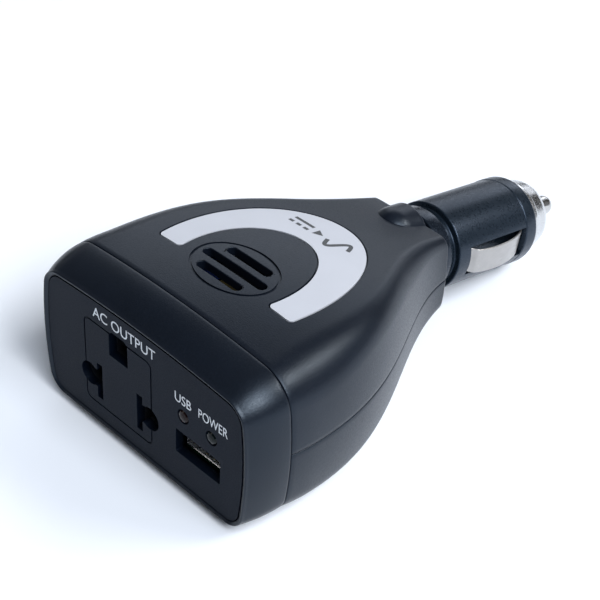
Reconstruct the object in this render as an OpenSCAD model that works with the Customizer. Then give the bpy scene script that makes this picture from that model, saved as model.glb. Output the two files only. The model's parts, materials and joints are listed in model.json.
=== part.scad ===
// Car power inverter: a bell-shaped two-part shell with a mains socket, a USB port
// and two lamps on its front panel, and a 12 V accessory plug on its neck.
// The front panel faces -Y, the plug points to +Y, and +Z is up.

/* [Shell] */
// Full width of the shell where it is widest
body_w = 68; // [64:0.5:72]
// Full width of the shell at the neck
neck_w = 24.4; // [23:0.2:27]
// Distance from the front panel to the end of the neck
body_len = 77.3; // [76:0.1:79]
// Length of the separate front bezel
bezel_len = 9.2; // [8:0.1:10]
// Wall thickness of the shell
wall = 2; // [1.6:0.1:2.4]
// Full width of the front rim of the bezel
rim_w = 62; // [61:0.5:63]

/* [Front panel] */
// Full width of the inset front panel
panel_w = 59.6; // [58:0.2:60]
// Half height of the inset front panel
panel_hh = 15.3; // [15:0.1:15.6]
// Thickness of the front panel
panel_t = 2; // [1.6:0.1:2.4]
// Distance between the two flat blade slots
blade_pitch = 12.7; // [12.5:0.1:12.9]
// Distance between the two round pin holes
pin_pitch = 19; // [18.6:0.1:19.2]
// Sideways position of the mains socket
socket_x = -6.9; // [-8:0.1:-6]
// Sideways position of the USB port
usb_x = 17.1; // [16.5:0.1:17.5]
// Diameter of each indicator lamp
lamp_d = 3; // [2.8:0.1:3.1]

/* [Top details] */
// Number of vent slots in the grille
vent_count = 3; // [1:1:3]
// Spacing of the vent slots
vent_pitch = 4.1; // [3.9:0.1:4.3]
// Width of each vent slot
vent_w = 2.3; // [1.8:0.1:2.6]

/* [Plug] */
// Diameter of the plug barrel
plug_d = 21.2; // [20.8:0.1:21.4]
// Length of the plug barrel
plug_len = 29; // [28:0.5:30]
// Downward tilt of the plug
plug_tilt = 10.25; // [9:0.25:11.5]
// How far the contact springs stand above the barrel
contact_rise = 1.3; // [1:0.1:1.5]
// Diameter of the centre contact pin
pin_d = 4.9; // [4.6:0.1:5.4]

/* [Hidden] */
$fn = 48;

// Seat of the model: the lowest point lies on z = 0 and the length is centred on y = 0.
lift = 18.45;
mid_y = 64.82;

seam_y = bezel_len;
front_y = -0.4;
gap = 0.12;
screw_front = [25.8, 21.8];
screw_rear = [10.2, 64.5];
foot_front = [21, 15.5];
foot_rear = [11, 53];
foot_front_top = -16.4;
foot_rear_top = -16.95;
foot_r = 3;
board_top = -8.2;
board_t = 1.6;
neck_r = 9;
collar_r = 10;
hump_r = 5.8;
hump_up = 6.93;
hump_start = -12.68;
collar_back = -6.2;
collar_front = -2.2;
bore_r = 3.45;
fuse_r = 3.15;
fuse_len = 30;
nose_step = 0.17;
spigot_r = 7.4;
spigot_len = 5;
plug_y = body_len + 6.34;
plug_z = -2.63;
strip_w = 6;
strip_t = 0.5;
slot_w = 7.2;
slot_floor = 7.3;
slot_back = 4;
slot_front = 24.6;

module seat() translate([0, -mid_y, lift]) children();
module plug_frame() seat() translate([0, plug_y, plug_z]) rotate([-90 - plug_tilt, 0, 0]) children();

// ---- shell surface ----
function ease(t) = t <= 0 ? 0 : t >= 1 ? 1 : t * t * (3 - 2 * t);
function along(y) = (y - seam_y) / 50;
function plan_t(y) = min(1, max(0, (y - 8.24) / (body_len - 5.3)));
function half_w(y) = neck_w / 2 + (body_w - neck_w) / 2 * (1 + cos(180 * pow(plan_t(y), 1.383))) / 2
    - 0.45 * pow(max(0, (16 - y) / 6.8), 2);
function top_z(y) = 19.5 + 1.5 * along(y) - 7 * pow(along(y), 2);
function bottom_z(y) = -16.39 - 7.34 * along(y) + 7.05 * pow(along(y), 2);
function split_z(y) = 1.3 - 2.53 * along(y);
function roof_r(y) = 6.2 + ease((y - 9) / 8) - 2.4 * ease((y - 18) / 26) - 2.6 * ease((y - 56) / 21);
function floor_r(y) = 5.5 - 0.5 * ease((y - 55) / 20);

// Bezel values run from the front rim (t = 0) to the seam (t = 1).
function flare(t) = 1 - pow(1 - t, 2);
function mix(a, b, t) = a + (b - a) * t;
function bez_t(y) = (y - front_y) / (seam_y - front_y);

// One section is [half width, top, bottom, split, upper radius, lower radius].
function shell_sec(y) = [half_w(y), top_z(y), bottom_z(y), split_z(y), roof_r(y), floor_r(y)];
function bezel_sec(y) = let (t = bez_t(y), f = flare(t), s = shell_sec(seam_y))
    [mix(rim_w / 2, s[0], f), mix(16.4, s[1], f), mix(-16.1, s[2], f), mix(0.4, s[3], t),
    mix(4, s[4], f), mix(3.6, s[5], f)];
function sec(y) = y < seam_y ? bezel_sec(y) : shell_sec(y);

function side_x(s, z, d) = s[0] - d - 2.5 * pow((z - s[3]) / 20, 2);
function roof_z(s, x, d) = s[1] - d - 1.48 * pow(x / 30, 2);
function floor_z(s, x, d) = s[2] + d;
function upper_pt(s, a, d) = let (r = max(0.8, s[4] - d), u = r * (1 - cos(a)), v = r * (1 - sin(a)),
    z1 = roof_z(s, s[0] - d - u, d) - v, x1 = side_x(s, z1, d) - u, z2 = roof_z(s, x1, d) - v)
    [side_x(s, z2, d) - u, z2];
function lower_pt(s, a, d) = let (r = max(0.8, s[5] - d), u = r * (1 - cos(a)), v = r * (1 - sin(a)),
    z = floor_z(s, 0, d) + v) [side_x(s, z, d) - u, z];

// Right half of one section, from the edge of the flat floor to the middle of the roof.
function half_ring(s, d) = let (l = lower_pt(s, 0, d), u = upper_pt(s, 0, d), r = upper_pt(s, 90, d)) concat(
    [for (a = [90:-18:0]) lower_pt(s, a, d)],
    [for (k = [1:3]) let (z = mix(l[1], u[1], k / 4)) [side_x(s, z, d), z]],
    [for (a = [0:15:90]) upper_pt(s, a, d)],
    [for (k = [4:-1:0]) let (x = r[0] * k / 5) [x, roof_z(s, x, d)]]);
function full_ring(h) = concat(h, [for (i = [len(h) - 2:-1:0]) [-h[i][0], h[i][1]]]);

// Closed solid through the sections at the stations ys, moved inward by d.
module loft(ys, d = 0) {
    rings = [for (y = ys) full_ring(half_ring(sec(y), d))];
    m = len(rings[0]);
    n = len(ys);
    pts = [for (i = [0:n - 1]) for (p = rings[i]) [p[0], ys[i], p[1]]];
    skin = [for (i = [0:n - 2]) for (j = [0:m - 1]) let (a = i * m + j, b = i * m + (j + 1) % m)
        each [[a, b, a + m], [b, b + m, a + m]]];
    caps = [[for (j = [m - 1:-1:0]) j], [for (j = [0:m - 1]) (n - 1) * m + j]];
    polyhedron(points = pts, faces = concat(skin, caps));
}

function steps(a, b, n) = [for (i = [0:n]) a + (b - a) * i / n];
shell_ys = steps(seam_y, body_len, 14);
cavity_ys = concat([seam_y - 1], steps(seam_y, body_len - 2.4, 9));
bezel_ys = [front_y, 0.6, 2, 4, 6.4, seam_y];

// Everything above (side = 1) or below (side = -1) the parting plane.
module half_space(side, y0, y1, off = 0)
    translate([-50, 0, 0]) rotate([90, 0, 90]) linear_extrude(100)
        polygon([[y0, split_z(y0) + off], [y1, split_z(y1) + off], [y1, side * 40], [y0, side * 40]]);

// ---- outlines on the top ----
function arc_pts(rx, ry, cy, a0, a1, n) = [for (i = [0:n]) let (a = a0 + (a1 - a0) * i / n)
    [rx * cos(a), cy + ry * sin(a)]];
badge_foot = 21.3;
badge_corner = 1;
function start_angle(ry, cy) = asin((badge_foot + badge_corner - cy) / ry);
function badge_arm(s, x, a0, a1, g) = [for (i = [1:3]) let (a = a0 + (a1 - a0) * i / 4)
    [s * (x + (badge_corner + g) * cos(a)), badge_foot + badge_corner + (badge_corner + g) * sin(a)]];
function badge_pts(g) = let (o = start_angle(29, 27.2), i = start_angle(18.2, 25.7),
    xo = 19.9 * cos(o) - badge_corner, xi = 13.5 * cos(i) + badge_corner) concat(
    arc_pts(19.9 + g, 29 + g, 27.2, o, 180 - o, 32),
    badge_arm(-1, xo, 0, -90, g), [[-xo, badge_foot - g], [-xi, badge_foot - g]],
    badge_arm(-1, xi, 270, 180, g),
    arc_pts(13.5 - g, 18.2 - g, 25.7, 180 - i, i, 26),
    badge_arm(1, xi, 180, 270, g), [[xi, badge_foot - g], [xo, badge_foot - g]],
    badge_arm(1, xo, -90, 0, g));

module slot_2d(half_len, w) {
    square([2 * half_len - w, w], center = true);
    for (s = [-1, 1]) translate([s * (half_len - w / 2), 0]) circle(w / 2, $fn = 24);
}

module vents() for (i = [0:vent_count - 1])
    translate([0, 24.5 + (i - (vent_count - 1) / 2) * vent_pitch, 0])
        linear_extrude(30) slot_2d(i == (vent_count - 1) / 2 ? 9 : 6.2, vent_w);

module grille_ring() linear_extrude(30) difference() {
    polygon(arc_pts(10.4, 8.1, 24.6, 0, 354, 59));
    polygon(arc_pts(9.8, 7.5, 24.6, 0, 354, 59));
}

module bore_space(r, s0, s1) translate([0, plug_y, plug_z]) rotate([-90 - plug_tilt, 0, 0])
    translate([0, 0, s0]) cylinder(r = r, h = s1 - s0, $fn = 64);

module neck_bores() {
    bore_space(neck_r + 0.05, -16, 10);
    bore_space(collar_r + 0.1, collar_back, 10);
}

module post(p, z0, z1, r) for (s = [-1, 1]) translate([s * p[0], p[1], z0]) cylinder(r = r, h = z1 - z0, $fn = 24);

// A round-nosed boss over the plug's mounting breaks through the roof at the end of the neck.
module hump() intersection() {
    translate([0, plug_y, plug_z]) rotate([-90 - plug_tilt, 0, 0]) translate([0, -hump_up, hump_start])
        rotate_extrude($fn = 64) scale(hump_r) polygon([[0, -1], [0.26, -0.966], [0.5, -0.866],
            [0.707, -0.707], [0.866, -0.5], [0.966, -0.26], [1, 0], [1, 2], [0, 2]]);
    translate([-15, 62, 5.5]) cube([30, body_len - 62, 20]);
}

module top_shell() color([0.17, 0.18, 0.2]) seat() difference() {
    union() {
        intersection() {
            difference() {
                union() {
                    loft(shell_ys);
                    hump();
                }
                loft(cavity_ys, wall);
            }
            half_space(1, 0, 90);
        }
        post(screw_front, 1, 15.6, 2.6);
        post(screw_rear, -1.2, 10.9, 2.6);
    }
    vents();
    difference() {
        grille_ring();
        loft(shell_ys, 0.35);
    }
    difference() {
        linear_extrude(40) polygon(badge_pts(0.3));
        loft(shell_ys, 0.6);
    }
    neck_bores();
    post(screw_front, -1, 12, 1.1);
    post(screw_rear, -3, 7, 1.1);
}

module bottom_shell() color([0.2, 0.21, 0.24]) seat() difference() {
    union() {
        intersection() {
            difference() {
                loft(shell_ys);
                loft(cavity_ys, wall);
            }
            half_space(-1, 0, 90, -gap);
        }
        post(screw_front, -16, 0.3, 3.4);
        post(screw_rear, -14, -1.9, 2.8);
        post([19, 26], -17.2, board_top - board_t, 2.4);
        post([9, 53], -16, board_top - board_t, 2.4);
    }
    neck_bores();
    post(screw_front, -30, 5, 1.5);
    post(screw_rear, -30, 5, 1.5);
    post(screw_front, -30, -12, 2.5);
    post(screw_rear, -30, -10, 2.2);
    post([19, 26], -14, 0, 0.9);
    post(foot_front, -30, foot_front_top, foot_r + 0.05);
    post(foot_rear, -30, foot_rear_top, foot_r + 0.05);
}
// Four round pads let the curved belly stand without rocking.
module foot_pad(at, top) for (s = [-1, 1]) translate([s * at[0], at[1], -lift]) {
    cylinder(r1 = foot_r - 0.3, r2 = foot_r, h = 0.3, $fn = 24);
    translate([0, 0, 0.3]) cylinder(r = foot_r, h = top + lift - 0.3, $fn = 24);
}
module foot_pads() color([0.12, 0.12, 0.13]) seat() {
    foot_pad(foot_front, foot_front_top);
    foot_pad(foot_rear, foot_rear_top);
}

// ---- front ----
function panel_sec(g) = [panel_w / 2 + g, panel_hh + g, -panel_hh - g, 0.2, 3 + g, 3 + g];
function panel_ring(g) = full_ring(half_ring(panel_sec(g), 0));
module panel_2d(g = 0) polygon(panel_ring(g));
module front_slab(y0, y1) translate([0, y1, 0]) rotate([90, 0, 0]) linear_extrude(y1 - y0) children();

module seam_2d(d) polygon(full_ring(half_ring(shell_sec(seam_y), d)));

module front_bezel() color([0.18, 0.19, 0.21]) seat() difference() {
    union() {
        loft(bezel_ys);
        front_slab(seam_y - 0.5, seam_y + 2.5) seam_2d(wall + 0.15);
    }
    front_slab(-2, 2.6) panel_2d(0.15);
    front_slab(2.5, 6) panel_2d(-1.3);
    front_slab(4.2, seam_y + 4) seam_2d(wall + 1.35);
}

slot_x = blade_pitch / 2;
pin_x = pin_pitch / 2;
blade_z = -5.2;
pin_z = -4.8;
earth_z = 7.1;

module outlet_2d(grow = 0) {
    for (s = [-1, 1]) translate([socket_x, 0]) {
        translate([s * slot_x, blade_z]) square([1.7 + 2 * grow, 9 + 2 * grow], center = true);
        translate([s * pin_x, pin_z]) circle(2.75 + grow, $fn = 32);
        translate([s * (slot_x + pin_x) / 2, pin_z]) square([pin_x - slot_x, 4.4], center = true);
    }
    translate([socket_x, earth_z]) {
        translate([-2.9 - grow, -3.1 - grow]) square([5.8 + 2 * grow, 4.2 + grow]);
        translate([0, 0.3]) intersection() {
            circle(3.4 + grow, $fn = 32);
            square([5.8 + 2 * grow, 5.6 + 2 * grow], center = true);
        }
    }
}

module front_panel() color([0.16, 0.18, 0.23]) seat() difference() {
    front_slab(0, panel_t) panel_2d();
    front_slab(-1, panel_t + 1) outlet_2d();
    front_slab(-1, 0.3) translate([socket_x - 0.35, -1]) difference() {
        square([21.2, 21.4], center = true);
        square([20.4, 20.6], center = true);
    }
    front_slab(-1, panel_t + 1) translate([usb_x, -4.75]) square([13, 5.9], center = true);
    for (x = [-4.3, 3.9]) translate([usb_x + x, -1, 2.5]) rotate([-90, 0, 0])
        cylinder(d = lamp_d + 0.3, h = panel_t + 2, $fn = 32);
}

module socket_block() color([0.12, 0.12, 0.13]) seat() difference() {
    translate([socket_x - 13.6, panel_t, -12]) cube([27.2, 15.5, 23.5]);
    front_slab(0, 9) outlet_2d(0.1);
    front_slab(8.9, 16.5) for (s = [-1, 1]) translate([socket_x, 0]) {
        translate([s * slot_x, blade_z]) square([4, 9.6], center = true);
        translate([s * pin_x, pin_z]) circle(3.4, $fn = 32);
    }
    front_slab(8.9, 16.5) translate([socket_x, earth_z]) square([7.2, 7], center = true);
    for (s = [-1, 1]) translate([socket_x + s * slot_x - 0.5, 16, -6.1]) cube([1, 3, 1.8]);
    translate([socket_x - 0.9, 16, earth_z - 0.5]) cube([1.8, 3, 1]);
}

// A brass clip: two leaves that grip a flat blade and a split sleeve for a round pin.
module blade_clip(s) seat() translate([socket_x, 0, 0]) {
    for (k = [-1, 1]) translate([s * slot_x + k * 1.15 - 0.2, 9.2, -8.4]) cube([0.4, 6.4, 6]);
    translate([s * slot_x - 1.35, 15.4, -8.4]) cube([2.7, 0.5, 6]);
    difference() {
        translate([s * pin_x, 9.2, pin_z]) rotate([-90, 0, 0]) cylinder(r = 3.2, h = 6.4, $fn = 32);
        translate([s * pin_x, 9, pin_z]) rotate([-90, 0, 0]) cylinder(r = 2.8, h = 7, $fn = 32);
        translate([s * (pin_x - 2.6) - 2, 9, pin_z - 4]) cube([4, 7, 8]);
    }
    translate([s * pin_x, 15.4, pin_z]) rotate([-90, 0, 0]) cylinder(r = 3.2, h = 0.5, $fn = 32);
    translate([s * (slot_x + pin_x) / 2 - 1.4, 15.4, -6.4]) cube([2.8, 0.5, 3]);
    translate([s * slot_x - 0.4, 15.8, -6]) cube([0.8, 4, 1.6]);
}
module live_contact() color([0.8, 0.66, 0.35]) blade_clip(1);
module neutral_contact() color([0.8, 0.66, 0.35]) blade_clip(-1);

module earth_contact() color([0.8, 0.66, 0.35]) seat() translate([socket_x, 0, earth_z]) {
    for (k = [-1, 1]) translate([k * 2.95 - 0.2, 9.2, -2.4]) cube([0.4, 6.6, 4.8]);
    translate([-3.15, 15.6, -2.4]) cube([6.3, 0.5, 4.8]);
    translate([-0.8, 16, -0.4]) cube([1.6, 4, 0.8]);
}

usb_z = -4.75;
module usb_shell() color([0.75, 0.76, 0.78]) seat() difference() {
    translate([usb_x - 6.4, 2.8, usb_z - 2.75]) cube([12.8, 13.6, 5.5]);
    translate([usb_x - 6.1, 2.7, usb_z - 2.45]) cube([12.2, 13.3, 4.9]);
}
module usb_tongue() color([0.9, 0.9, 0.88]) seat() {
    translate([usb_x - 5.6, 5, usb_z + 0.3]) cube([11.2, 9.6, 1.8]);
    translate([usb_x - 6.05, 14.4, usb_z - 2.4]) cube([12.1, 1.5, 4.8]);
}
module usb_contacts() color([0.85, 0.72, 0.35]) seat() for (x = [-3.5, -1, 1, 3.5])
    translate([usb_x + x - 0.5, 5.4, usb_z + 0.1]) cube([1, 9, 0.25]);

module lamp(x) seat() translate([usb_x + x, 0, 2.5]) rotate([-90, 0, 0]) {
    rotate_extrude($fn = 32) scale([lamp_d / 2, 1])
        polygon([[0, -0.4], [0.4, -0.33], [0.75, -0.1], [0.95, 0.25], [1, 0.6], [1, 4], [0, 4]]);
    translate([0, 0, panel_t + 0.4]) cylinder(d = lamp_d + 0.8, h = 1, $fn = 32);
}
module usb_lamp() color([0.35, 0.16, 0.13]) lamp(-4.3);
module power_lamp() color([0.14, 0.32, 0.28]) lamp(3.9);
module lamp_leads() color([0.7, 0.7, 0.72]) seat() for (x = [-4.3, 3.9]) for (k = [-0.9, 0.9])
    translate([usb_x + x + k, 0, 0]) {
        translate([-0.25, 3.9, 2.25]) cube([0.5, 15.1, 0.5]);
        translate([-0.25, 18.5, board_top - 0.2]) cube([0.5, 0.5, 2.75 - board_top + 0.2]);
    }

module top_badge() color([0.85, 0.87, 0.91]) seat() difference() {
    intersection() {
        linear_extrude(40) polygon(badge_pts(0));
        loft(shell_ys, 0.08);
    }
    loft(shell_ys, 0.6);
}

// ---- fasteners ----
module screw(p, z0, len, head_r) for (s = [-1, 1]) translate([s * p[0], p[1], z0]) difference() {
    union() {
        cylinder(r = head_r, h = 1.4, $fn = 32);
        cylinder(r = 1.05, h = len, $fn = 24);
    }
    for (a = [0, 90]) rotate(a) translate([-1.2, -0.25, -1]) cube([2.4, 0.5, 1.7]);
}
module shell_screws() color([0.6, 0.61, 0.63]) seat() {
    screw(screw_front, -13.4, 22, 2.4);
    screw(screw_rear, -11.4, 16, 2.1);
}
module board_screws() color([0.7, 0.62, 0.4]) seat() translate([0, 0, board_top])
    mirror([0, 0, 1]) translate([0, 0, -1.4]) screw([19, 26], 0, 6.4, 2);

// ---- electronics ----
function board_hw(y) = min(22, half_w(y) - 5.2);
module main_board() color([0.16, 0.36, 0.22]) seat() translate([0, 0, board_top - board_t]) difference() {
    linear_extrude(board_t) polygon(concat(
        [[9.5, 4], [22, 4]],
        [for (y = [18.2:3.4:58]) [board_hw(y), y]],
        [for (y = [55.6:-3.4:18.2]) [-board_hw(y), y]],
        [[9.5, 18.2]]));
    for (s = [-1, 1]) translate([s * 19, 26, -1]) cylinder(r = 1.15, h = 4, $fn = 24);
}

module transformer_core() color([0.14, 0.14, 0.15]) seat() translate([-1.5, 37, board_top]) difference() {
    translate([-12, -4, 0.4]) cube([24, 8, 19.6]);
    for (s = [-1, 1]) translate([s * 6.2 - 2.6, -5, 4]) cube([5.2, 10, 12.4]);
}
module transformer_winding() color([0.85, 0.75, 0.3]) seat() translate([-1.5, 37, board_top + 4.1]) difference() {
    linear_extrude(12.2) offset(r = 2) square([12.8, 13.4], center = true);
    translate([-3.6, -4.1, -1]) cube([7.2, 8.2, 15]);
}
module can(x, y, r, h) translate([x, y, board_top]) {
    cylinder(r = r, h = h, $fn = 32);
    for (k = [-1, 1]) translate([k * r / 2, 0, -2.6]) cylinder(r = 0.3, h = 3, $fn = 16);
}
module capacitors() color([0.12, 0.16, 0.34]) seat() {
    can(-17.8, 35.5, 4, 16);
    can(-15, 46.5, 4, 12);
    can(13.2, 22.4, 3.2, 11);
}
module heat_sink() color([0.72, 0.73, 0.75]) seat() {
    translate([17.6, 28, board_top]) cube([1.6, 18, 15]);
    for (k = [0:3]) translate([19, 29 + k * 5.2, board_top]) cube([2.6, 1.2, 15]);
}
module transistors() color([0.1, 0.1, 0.11]) seat() for (y = [30, 40]) translate([13, y - 1.4, board_top]) {
    translate([0, 0, 4]) cube([4.5, 7, 8.6]);
    for (k = [0.6, 3.2, 5.8]) translate([2, k, -2.4]) cube([0.5, 0.6, 6.6]);
}
module choke() color([0.72, 0.4, 0.2]) seat() translate([-6.4, 51.4, board_top + 5.6]) rotate([90, 0, 20])
    rotate_extrude($fn = 40) translate([3.6, 0]) circle(1.9, $fn = 24);
module control_chip() color([0.09, 0.09, 0.1]) seat() translate([6, 49.5, board_top]) {
    translate([-2, -4.9, 0.3]) cube([4, 9.8, 1.5]);
    for (k = [0:6]) translate([-3, -4.1 + k * 1.27, 0]) cube([6, 0.45, 0.5]);
}
module buzzer() color([0.08, 0.08, 0.09]) seat() translate([5.2, 24, board_top]) difference() {
    cylinder(r = 4, h = 5, $fn = 40);
    translate([0, 0, 3.4]) cylinder(r = 0.8, h = 3, $fn = 24);
}

// A round wire through the points p.
module wire(p, r) for (i = [0:len(p) - 2]) let (a = p[i], b = p[i + 1], v = b - a, l = norm(v))
    translate(a) {
        if (i > 0) sphere(r * 1.04, $fn = 20);
        rotate([0, acos(v[2] / l), atan2(v[1], v[0])]) cylinder(r = r, h = l, $fn = 20);
    }
module socket_leads() color([0.75, 0.12, 0.1]) seat() for (s = [-1, 1]) translate([socket_x, 0, 0])
    wire([[s * slot_x, 19.9, -5.2], [s * slot_x, 23, -6.2], [s * slot_x, 24, board_top]], 0.8);
module plug_leads() color([0.08, 0.08, 0.09]) seat() for (s = [-1, 1])
    wire([[s * 6, 69.6, -0.6], [s * 6.5, 57, -2.6], [s * 6.5, 55.6, board_top]], 0.95);

// ---- plug, along its own axis ----
module plug_barrel() color([0.11, 0.12, 0.14]) plug_frame() {
    difference() {
        rotate_extrude($fn = 96) polygon([[bore_r, -15.6], [neck_r, -15.6], [neck_r, 0], [plug_d / 2 - nose_step - 0.5, 0],
            [plug_d / 2 - nose_step, 0.5], [plug_d / 2 - nose_step, plug_len - 4.3],
            [plug_d / 2, plug_len - 4.1], [plug_d / 2, plug_len - 0.6], [plug_d / 2 - 0.6, plug_len],
            [spigot_r, plug_len],
            [spigot_r, plug_len + spigot_len], [bore_r, plug_len + spigot_len]]);
        for (s = [0, 1]) mirror([s, 0, 0]) {
            translate([slot_floor, -slot_w / 2, slot_back]) cube([6, slot_w, slot_front - slot_back]);
            translate([slot_floor, -slot_w / 2, slot_back - 0.9])
                cube([1.7, slot_w, slot_front - slot_back + 1.8]);
        }
        for (s = [-1, 1]) translate([s * 6, 0.9, -17]) cylinder(r = 1.1, h = 3.8, $fn = 24);
    }
}
module plug_collar() color([0.14, 0.15, 0.17]) plug_frame() rotate_extrude($fn = 96)
    polygon([[neck_r + 0.02, collar_back], [collar_r, collar_back], [collar_r, collar_front - 0.3],
        [collar_r - 0.3, collar_front], [neck_r + 0.02, collar_front]]);

spring_back = -12;
fuse_back = plug_len + spigot_len - 1.1 - fuse_len;
module spring_seat() color([0.8, 0.66, 0.35]) plug_frame() translate([0, 0, spring_back - 1.4])
    cylinder(r = bore_r - 0.02, h = 1.4, $fn = 40);
module fuse_spring() color([0.75, 0.76, 0.78]) plug_frame() {
    turns = 6;
    per = 12;
    n = turns * per;
    coil_r = 2.5;
    wire_r = 0.32;
    z0 = spring_back + wire_r;
    rise = (fuse_back - 2 * wire_r - spring_back) / n;
    pts = [for (i = [0:n]) for (k = [0:5]) let (a = i * 360 / per, b = k * 60, q = coil_r + wire_r * cos(b))
        [q * cos(a), q * sin(a), z0 + i * rise + wire_r * sin(b)]];
    skin = [for (i = [0:n - 1]) for (k = [0:5]) let (a = i * 6 + k, b = i * 6 + (k + 1) % 6)
        each [[a, b, a + 6], [b, b + 6, a + 6]]];
    polyhedron(points = pts, faces = concat(skin, [[5, 4, 3, 2, 1, 0], [for (k = [0:5]) n * 6 + k]]));
}
module fuse_glass() color([0.8, 0.85, 0.86, 0.5]) plug_frame() translate([0, 0, fuse_back + 1]) difference() {
    cylinder(r = fuse_r - 0.35, h = fuse_len - 2, $fn = 40);
    translate([0, 0, -1]) cylinder(r = fuse_r - 1, h = fuse_len + 2, $fn = 40);
}
module fuse_caps() color([0.78, 0.79, 0.8]) plug_frame() for (z = [fuse_back, fuse_back + fuse_len - 6])
    translate([0, 0, z]) difference() {
        cylinder(r = fuse_r, h = 6, $fn = 40);
        translate([0, 0, z == fuse_back ? 1 : -1]) cylinder(r = fuse_r - 0.34, h = 6, $fn = 40);
    }

tip_end = plug_len + 18;
module tip_pin() color([0.82, 0.82, 0.82]) plug_frame() rotate_extrude($fn = 64) {
    z0 = fuse_back + fuse_len;
    r = pin_d / 2;
    polygon([[0, z0], [bore_r - 0.1, z0], [bore_r - 0.1, z0 + 1], [r, z0 + 1], [r, tip_end - 1.8],
        [r - 0.3, tip_end - 0.9], [r - 0.9, tip_end - 0.3], [r - 1.6, tip_end], [0, tip_end]]);
}
module tip_washer() color([0.55, 0.3, 0.15]) plug_frame() translate([0, 0, plug_len + spigot_len + 0.1])
    difference() {
        cylinder(r = spigot_r - 0.2, h = 1, $fn = 64);
        translate([0, 0, -1]) cylinder(d = pin_d + 0.3, h = 4, $fn = 64);
    }
module tip_nut() color([0.8, 0.8, 0.8]) plug_frame() rotate_extrude($fn = 96) {
    z0 = plug_len + 0.25;
    z1 = plug_len + spigot_len + 1.2;
    polygon([[spigot_r + 0.08, z0], [9.2, z0], [9.35, z0 + 0.3], [9.35, z0 + 1.7], [9, z0 + 2.1], [8.6, z0 + 5.2],
        [7.7, z0 + 6.8], [6.2, z0 + 7.6], [pin_d / 2 + 0.6, z0 + 7.9], [pin_d / 2 + 0.15, z0 + 7.6],
        [pin_d / 2 + 0.15, z1], [spigot_r + 0.08, z1]]);
}

// A bowed spring strip: part of a thin cylinder wall whose axis crosses the plug.
strip_len = 19.6;
strip_mid = (slot_back + slot_front) / 2;
strip_sag = plug_d / 2 + contact_rise - (slot_floor + contact_rise + 0.85);
strip_r = (pow(strip_len / 2, 2) + pow(strip_sag, 2)) / (2 * strip_sag);
module strip(side) plug_frame() mirror([side < 0 ? 1 : 0, 0, 0]) difference() {
    intersection() {
        translate([plug_d / 2 + contact_rise - strip_r, -strip_w / 2, strip_mid]) rotate([-90, 0, 0])
            cylinder(r = strip_r, h = strip_w, $fn = 96);
        translate([slot_floor + contact_rise + 0.15, -strip_w, strip_mid - strip_len / 2])
            cube([8, 2 * strip_w, strip_len]);
    }
    translate([plug_d / 2 + contact_rise - strip_r, -strip_w, strip_mid]) rotate([-90, 0, 0])
        cylinder(r = strip_r - strip_t, h = 2 * strip_w, $fn = 96);
}
module side_contact_left() color([0.8, 0.81, 0.82]) strip(-1);
module side_contact_right() color([0.8, 0.81, 0.82]) strip(1);

top_shell();
bottom_shell();
foot_pads();
front_bezel();
front_panel();
socket_block();
live_contact();
neutral_contact();
earth_contact();
usb_shell();
usb_tongue();
usb_contacts();
usb_lamp();
power_lamp();
lamp_leads();
top_badge();
shell_screws();
main_board();
board_screws();
transformer_core();
transformer_winding();
capacitors();
transistors();
heat_sink();
choke();
control_chip();
buzzer();
socket_leads();
plug_leads();
plug_barrel();
plug_collar();
spring_seat();
fuse_spring();
fuse_glass();
fuse_caps();
tip_pin();
tip_washer();
tip_nut();
side_contact_left();
side_contact_right();
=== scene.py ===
import json
import math

import bmesh
import bpy
import numpy as np
from mathutils import Matrix, Vector
from mathutils.bvhtree import BVHTree
from mathutils.interpolate import poly_3d_calc

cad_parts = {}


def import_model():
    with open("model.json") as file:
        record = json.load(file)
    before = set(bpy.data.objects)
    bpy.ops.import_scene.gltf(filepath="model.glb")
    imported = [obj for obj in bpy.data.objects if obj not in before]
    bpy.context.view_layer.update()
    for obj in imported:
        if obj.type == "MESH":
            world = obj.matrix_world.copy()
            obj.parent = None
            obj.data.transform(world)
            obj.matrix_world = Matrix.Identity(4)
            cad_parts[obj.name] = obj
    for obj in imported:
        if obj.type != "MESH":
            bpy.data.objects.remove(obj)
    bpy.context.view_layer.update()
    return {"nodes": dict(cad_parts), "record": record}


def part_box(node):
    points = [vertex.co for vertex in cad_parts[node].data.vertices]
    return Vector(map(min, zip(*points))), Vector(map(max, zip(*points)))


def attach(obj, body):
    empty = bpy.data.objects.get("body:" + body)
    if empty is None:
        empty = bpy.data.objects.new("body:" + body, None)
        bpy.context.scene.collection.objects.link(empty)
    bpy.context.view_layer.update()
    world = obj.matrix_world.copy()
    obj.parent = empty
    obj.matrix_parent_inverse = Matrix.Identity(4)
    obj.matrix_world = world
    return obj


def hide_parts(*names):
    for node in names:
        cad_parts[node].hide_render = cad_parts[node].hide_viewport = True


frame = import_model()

MM = 0.001
NODES = frame["nodes"]
RECORD = frame["record"]

# ---------------------------------------------------------------- frame of the design
# Millimetres with x across, y back from the front panel and z up from the panel's middle.
PANEL_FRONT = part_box("front_panel")[0].y
MID_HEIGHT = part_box("socket_block")[0].z + 12 * MM


def world(x, y, z):
    return Vector((x * MM, PANEL_FRONT + y * MM, MID_HEIGHT + z * MM))


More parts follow.
